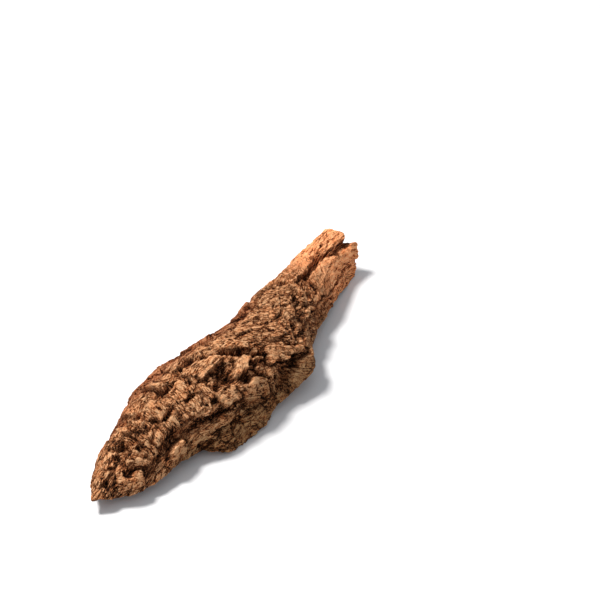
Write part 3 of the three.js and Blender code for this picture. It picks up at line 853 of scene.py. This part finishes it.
# Most of these sit on hollows, pits and the pockets under lifted flakes, where they are painted shade.
DARK_AND_SHADE_PATCHES = [
    (-118, -1, 14, 6, 0.9), (-44, -15, 9, 6, 1.6), (-18, -20, 8, 5, 1.3), (-33, -23, 4, 3, 1.4),
    (13, -31, 5, 4, 1.5), (-66, 6, 8, 4, 0.8), (-94, -25, 10, 4, 0.7), (5, -32, 6, 5, 0.9),
    (-5, -36, 8, 4, 0.5), (31, -23, 7, 5, 0.6), (48, -27, 16, 7, 0.6), (-60, -38, 40, 8, 0.35),
    (28, 0, 46, 26, 0.7), (-141, -3, 10, 6, 0.3),
]
print(len(PALE_PATCHES), "pale and", len(DARK_AND_SHADE_PATCHES), "dark patches")


# %% Spread the patches
def patches(table):
    amount = np.zeros(outer_x.shape)
    ragged_x = outer_x + 2.2 * wander(outer_x / 4, outer_s / 4, 91)
    ragged_x = ragged_x + wander(outer_x / 1.5, outer_s / 1.5, 92)
    ragged_s = outer_s + 2.2 * wander(outer_x / 4, outer_s / 4, 93)
    ragged_s = ragged_s + wander(outer_x / 1.5, outer_s / 1.5, 94)
    for px, ps, half_x, half_s, strength in table:
        d = np.hypot((ragged_x - px) / half_x, (ragged_s - ps) / half_s)
        amount = np.maximum(amount, strength * ease(clamp((1.35 - d) / 0.6)))
    return amount


pale_patch = patches(PALE_PATCHES)
dark_and_shade_patch = patches(DARK_AND_SHADE_PATCHES)
print("pale on", round(float((pale_patch > 0.3).mean() * 100)), "% and dark on",
      round(float((dark_and_shade_patch > 0.3).mean() * 100)), "% of the outer face")


# %% [markdown]
# ## Values for the colours
# Every value is written on the points of the mesh, so that the finish moves with the bark and needs
# no picture. `rung` counts the yearly layers and `rise` says how fast they follow one another,
# which lets the finish draw each layer's edge with an even width.

# %% Write the single values
def on_points(name, outer_values, belly, rim):
    values = np.concatenate([
        outer_values.reshape(-1),
        np.broadcast_to(belly, inner_h.shape).reshape(-1),
        np.broadcast_to(rim, (3, ring_count)).reshape(-1),
    ])
    attribute = bark_mesh.attributes.new(name, "FLOAT", "POINT")
    attribute.data.foreach_set("value", values.astype(np.float32))


on_points("height", clamp((outer_h + 6) / 12), belly=0.45, rim=0.4)
on_points("small_shade_and_highlight", clamp(0.5 + small_shade_and_highlight / 2.4), belly=0.5, rim=0.45)
on_points("wide_shade_and_highlight", clamp(0.5 + wide_shade_and_highlight / 7), belly=0.5, rim=0.45)
on_points("shade_in_cracks", outer_marks["shade_in_cracks"], belly=0.1, rim=0.35)
on_points("tint", clamp(0.5 + outer_marks["tint"] / 2), belly=0.5, rim=0.5)
on_points("pale", pale_patch, belly=0.15, rim=0.2)
on_points("dark", dark_and_shade_patch, belly=0.0, rim=0.2)
on_points("far_end", ease(clamp((outer_x - 55) / 50)), belly=0.0, rim=0.3)
left_flank = ease(clamp((outer_s - 8) / 14)) * (1 - ease(clamp((outer_x - 20) / 50)))
on_points("left_flank", left_flank, belly=0.0, rim=0.0)
# The finish darkens the right flank with this value as painted shade.
on_points("shaded_right_flank", ease(clamp((-outer_s - 26) / 18)), belly=0.0, rim=0.2)
print("values on the mesh:", len(bark_mesh.attributes))

# %% Write where the layers are
rung = outer_marks["rung"]
rise_x = np.gradient(rung, axis=0) / np.maximum(0.2, np.gradient(outer_x, axis=0))
rise_s = np.gradient(rung, axis=1) / np.maximum(0.1, np.gradient(outer_s, axis=1))
on_points("rung", rung, belly=0.5, rim=0.5)
on_points("rise", np.hypot(rise_x, rise_s), belly=1.0, rim=1.0)
print("layers met on the outer face:", int(np.ptp(rung)))


# %% Write each point's place and its grain
def on_points_in_threes(name, threes):
    attribute = bark_mesh.attributes.new(name, "FLOAT_VECTOR", "POINT")
    attribute.data.foreach_set("vector", threes.astype(np.float32).reshape(-1))


both_faces = outer_count + inner_count
place = points.copy()
place[:outer_count] = np.stack([outer_x, outer_s, outer_h], -1).reshape(-1, 3)
place[outer_count:both_faces] = np.stack([inner_x, inner_s, inner_h + 200], -1).reshape(-1, 3)
on_points_in_threes("place", place)
grain_place = place.copy()
grain_place[:outer_count] = outer_grain.reshape(-1, 3)
on_points_in_threes("grain", grain_place)
print("places written for", len(place), "points")


# %% [markdown]
# ## The finish: dry bark
# Dry cork has no gloss. Its colour runs from almost black brown in the furrows, which is partly painted
# shade, to tan and straw on the plates, with redder bark on the left flank and an orange tint at the
# split end. One material holds all of it. It adds up a tone from the values on the points and from
# fine noise, and then turns that tone into a colour. Painting a picture would be quicker, but would
# not fit a second slab. First come a few helpers, so that each later line says what it does to the
# bark and not how a node is wired.

# %% Helpers for sums and values
def start_material(name):
    material = bpy.data.materials.new(name)
    material.use_nodes = True
    return material, material.node_tree.nodes, material.node_tree.links


def value_of(nodes, name, output="Fac"):
    node = nodes.new("ShaderNodeAttribute")
    node.attribute_name = name
    return node.outputs[output]


def sum_of(nodes, links, operation, a, b, clamped=False):
    node = nodes.new("ShaderNodeMath")
    node.operation = operation
    node.use_clamp = clamped
    for socket, value in zip(node.inputs, (a, b)):
        if isinstance(value, (int, float)):
            socket.default_value = value
        else:
            links.new(value, socket)
    return node.outputs[0]


print("helpers for sums ready")


# %% Helpers for noise and crack lines
def noise_on(nodes, links, where, stretch, scale, detail, rough=0.6):
    mapping = nodes.new("ShaderNodeMapping")
    mapping.inputs["Scale"].default_value = stretch
    links.new(where, mapping.inputs["Vector"])
    noise = nodes.new("ShaderNodeTexNoise")
    noise.inputs["Scale"].default_value = scale
    noise.inputs["Detail"].default_value = detail
    noise.inputs["Roughness"].default_value = rough
    links.new(mapping.outputs[0], noise.inputs["Vector"])
    return noise.outputs["Fac"]


def pushed(nodes, links, where, scale, reach):
    noise = nodes.new("ShaderNodeTexNoise")
    noise.inputs["Scale"].default_value = scale
    noise.inputs["Detail"].default_value = 2
    links.new(where, noise.inputs["Vector"])
    push = nodes.new("ShaderNodeVectorMath")
    push.operation = "MULTIPLY_ADD"
    links.new(noise.outputs["Color"], push.inputs[0])
    push.inputs[1].default_value = (reach, reach, reach)
    links.new(where, push.inputs[2])
    return push.outputs[0]


def crack_lines(nodes, links, where, stretch, width):
    mapping = nodes.new("ShaderNodeMapping")
    mapping.inputs["Scale"].default_value = stretch
    links.new(where, mapping.inputs["Vector"])
    voronoi = nodes.new("ShaderNodeTexVoronoi")
    voronoi.feature = "DISTANCE_TO_EDGE"
    voronoi.inputs["Scale"].default_value = 1
    links.new(mapping.outputs[0], voronoi.inputs["Vector"])
    share = sum_of(nodes, links, "DIVIDE", voronoi.outputs["Distance"], width)
    return sum_of(nodes, links, "SUBTRACT", 1.0, share, True)


print("helpers for noise ready")


# %% Helpers for colours
def ramp(nodes, links, value, stops):
    node = nodes.new("ShaderNodeValToRGB")
    elements = node.color_ramp.elements
    while len(elements) < len(stops):
        elements.new(0.5)
    for element, (position, colour) in zip(elements, stops):
        element.position = position
        element.color = (*colour, 1)
    links.new(value, node.inputs[0])
    return node.outputs["Color"]


def blend_colours(nodes, links, way, amount, a, b):
    node = nodes.new("ShaderNodeMix")
    node.data_type = "RGBA"
    node.blend_type = way
    for socket, value in ((node.inputs[0], amount), (node.inputs[6], a), (node.inputs[7], b)):
        if isinstance(value, (int, float)):
            socket.default_value = value
        elif isinstance(value, tuple):
            socket.default_value = (*value, 1)
        else:
            links.new(value, socket)
    return node.outputs[2]


print("helpers for colours ready")


# %% [markdown]
# ## Grain, speckle and cracks in the finish
# The finest marks are smaller than the mesh's own faces, so they are made in the finish: speckle of
# crumbled cork, streaks that follow the grain of each chip, thin crack lines that come and go and are
# darkened as painted shade, and a dark line of painted shade with a painted highlight on its lip at
# the edge of each yearly layer.

# %% Lay the grain and the speckle
dry_bark, nodes, links = start_material("dry bark")
where = value_of(nodes, "place", "Vector")
grain_where = value_of(nodes, "grain", "Vector")
broad = noise_on(nodes, links, where, stretch=(0.6, 1, 0.5), scale=0.09, detail=3)
speck = noise_on(nodes, links, where, stretch=(0.85, 1, 1), scale=1.45, detail=2, rough=0.7)
grain = noise_on(nodes, links, grain_where, stretch=(0.17, 1.0, 1.0), scale=1.6, detail=1, rough=0.6)


def weighed(value, weight):
    return sum_of(nodes, links, "MULTIPLY", value, weight)


def combined(operation, a, b, clamped=False):
    return sum_of(nodes, links, operation, a, b, clamped)


print("grain and speckle laid with", len(nodes), "nodes")

# %% Draw the thin cracks
chip_place = pushed(nodes, links, grain_where, scale=0.35, reach=1.8)
long_cracks = crack_lines(nodes, links, chip_place, stretch=(0.085, 0.26, 0.3), width=0.20)
short_cracks = crack_lines(nodes, links, chip_place, stretch=(0.22, 0.46, 0.5), width=0.26)
# The thin cracks darken the tone as painted shade and also sink the bump.
shaded_fine_cracks = combined("MAXIMUM", long_cracks, weighed(short_cracks, 0.5))
away_from_end = combined("SUBTRACT", 1.0, weighed(value_of(nodes, "far_end"), 0.6))
shaded_fine_cracks = combined("MULTIPLY", shaded_fine_cracks, away_from_end)
come_and_go = noise_on(nodes, links, where, stretch=(1, 1, 1), scale=0.12, detail=2)
come_and_go = combined("MULTIPLY", combined("SUBTRACT", come_and_go, 0.33), 4.0, True)
shaded_fine_cracks = combined("MULTIPLY", shaded_fine_cracks, come_and_go)
print("cracks drawn, now", len(nodes), "nodes")

# %% Draw the edges of the layers
ragged = noise_on(nodes, links, where, stretch=(1, 1, 1), scale=0.7, detail=2, rough=0.7)
layer_place = combined("ADD", value_of(nodes, "rung"), weighed(ragged, 0.5))
layer_place = combined("FRACT", combined("SUBTRACT", layer_place, 0.25), 0.0)
steepness = combined("MAXIMUM", value_of(nodes, "rise"), 0.12)
from_edge = combined("DIVIDE", combined("SUBTRACT", layer_place, 0.47), steepness)
# The dark line at each layer's edge is painted shade, and the pale lip beside it is a painted
# highlight.
layer_edge_shade = combined("DIVIDE", combined("ABSOLUTE", from_edge, 0.0), 0.55)
layer_edge_shade = combined("SUBTRACT", 1.0, layer_edge_shade, True)
from_lip = combined("ABSOLUTE", combined("SUBTRACT", from_edge, 0.9), 0.0)
layer_lip_highlight = combined("SUBTRACT", 1.0, combined("DIVIDE", from_lip, 0.6), True)
print("layer edges drawn, now", len(nodes), "nodes")

# %% [markdown]
# ## From tone to colour
# The tone says how much light the bark throws back, from 0 in the deepest furrow to 1 on bare pale
# cork. Each part below is one mark with its weight. The hollows, the cracks, most dark patches, the
# edges of the layers and the low end of the height paint in shade, and the rims of hollows and the
# lips of the layers paint in highlights. The strip of colours then goes from black brown through red
# brown and tan to straw. A few broad tints on top make the left flank redder and duller, paint shade
# onto the right flank, and make the split end warmer.

# %% Add up the tone
# Height makes raised bark paler and deep bark darker: paler plates, and painted shade in the furrows.
tone = weighed(value_of(nodes, "height"), 0.20)
for part in (
    # The two hollow values paint shade into hollows and highlights onto edges.
    weighed(value_of(nodes, "wide_shade_and_highlight"), 0.25),
    weighed(value_of(nodes, "small_shade_and_highlight"), 0.5),
    weighed(value_of(nodes, "tint"), 0.2),
    weighed(value_of(nodes, "pale"), 0.14),
    # Most dark patches are painted shade in hollows and under flakes.
    weighed(value_of(nodes, "dark"), -0.12),
    # The crack value darkens seams, pores and plate gaps as painted shade.
    weighed(value_of(nodes, "shade_in_cracks"), -0.75),
    weighed(value_of(nodes, "far_end"), 0.06),
    weighed(speck, 3.6),
    weighed(grain, 4.0),
    weighed(broad, 0.6),
    # The thin cracks are painted shade.
    weighed(shaded_fine_cracks, -1.2),
    # The layer edge is painted shade and its lip a painted highlight.
    weighed(layer_edge_shade, -0.35),
    weighed(layer_lip_highlight, 0.16),
):
    tone = combined("ADD", tone, part)
tone = combined("ADD", weighed(combined("SUBTRACT", tone, 3.34), 0.62), 0.19)
print("tone added up, now", len(nodes), "nodes")

# %% Turn the tone into colour
BLACK_BROWN = (0.016, 0.0055, 0.0026)
FURROW_BROWN = (0.050, 0.0170, 0.0070)
DARK_RED_BROWN = (0.135, 0.047, 0.0180)
RED_BROWN = (0.285, 0.102, 0.039)
CORK_TAN = (0.455, 0.174, 0.069)
PALE_TAN = (0.66, 0.290, 0.126)
STRAW = (0.90, 0.51, 0.265)
bark_colour = ramp(nodes, links, tone, [
    (0.0, BLACK_BROWN),
    (0.19, FURROW_BROWN),
    (0.33, DARK_RED_BROWN),
    (0.47, RED_BROWN),
    (0.61, CORK_TAN),
    (0.81, PALE_TAN),
    (1.0, STRAW),
])
print("colours from black brown to straw")

# %% Tint the left flank and the far end, and paint shade onto the right flank
rust = noise_on(nodes, links, where, stretch=(0.6, 1, 1), scale=0.22, detail=3)
rust = combined("MULTIPLY", combined("SUBTRACT", rust, 0.42), 4.0, True)
MATT = 0.93
SHEEN = 0.06
RUSTY = (1.0, 0.82, 0.70)
DULL_RED = (0.66, 0.52, 0.49)
# The next colour darkens the right flank, which faces away from the lamp: painted shade.
RIGHT_FLANK_SHADE = (0.62, 0.64, 0.58)
WARM_ORANGE = (1.45, 1.23, 1.13)
for amount, tint in (
    (rust, RUSTY),
    (value_of(nodes, "left_flank"), DULL_RED),
    (value_of(nodes, "shaded_right_flank"), RIGHT_FLANK_SHADE),
    (value_of(nodes, "far_end"), WARM_ORANGE),
):
    bark_colour = blend_colours(nodes, links, "MULTIPLY", amount, bark_colour, tint)
shader = nodes["Principled BSDF"]
shader.inputs["Roughness"].default_value = MATT
shader.inputs["Specular IOR Level"].default_value = SHEEN
links.new(bark_colour, shader.inputs["Base Color"])
print("tints laid, now", len(nodes), "nodes")

# %% [markdown]
# ## The feel of the bark
# Dry cork is matt and gritty. A bump finer than the mesh catches the light on crumbs and fibres,
# and sinks where a thin crack was drawn, so that the crack, whose shade is painted, also looks cut.

# %% Roughen the bark
GRIT = 0.9
GRIT_DEPTH = 0.0022
fine = noise_on(nodes, links, where, stretch=(1, 1, 1), scale=1.1, detail=4, rough=0.7)
fibre = noise_on(nodes, links, grain_where, stretch=(0.18, 1.0, 1.0), scale=1.3, detail=3, rough=0.65)
texture = combined("ADD", fine, weighed(fibre, 1.2))
texture = combined("SUBTRACT", texture, weighed(shaded_fine_cracks, 0.4))
bump = nodes.new("ShaderNodeBump")
bump.inputs["Strength"].default_value = GRIT
bump.inputs["Distance"].default_value = GRIT_DEPTH
links.new(texture, bump.inputs["Height"])
links.new(bump.outputs[0], shader.inputs["Normal"])
bark_mesh.materials.append(dry_bark)
print("dry bark mixed with", len(nodes), "nodes")

# %% [markdown]
# ## The sizes of the skin and the solid
# The finer skin has to stay inside the solid's box, so both boxes are printed side by side.

# %% Write the sizes
skin_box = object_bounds()
sizes = {"cad": [list(corner) for corner in solid_box], "visual": [list(corner) for corner in skin_box]}
for name, corners in sizes.items():
    print(name, [round(v * 1000, 1) for corner in corners for v in corner], "mm")
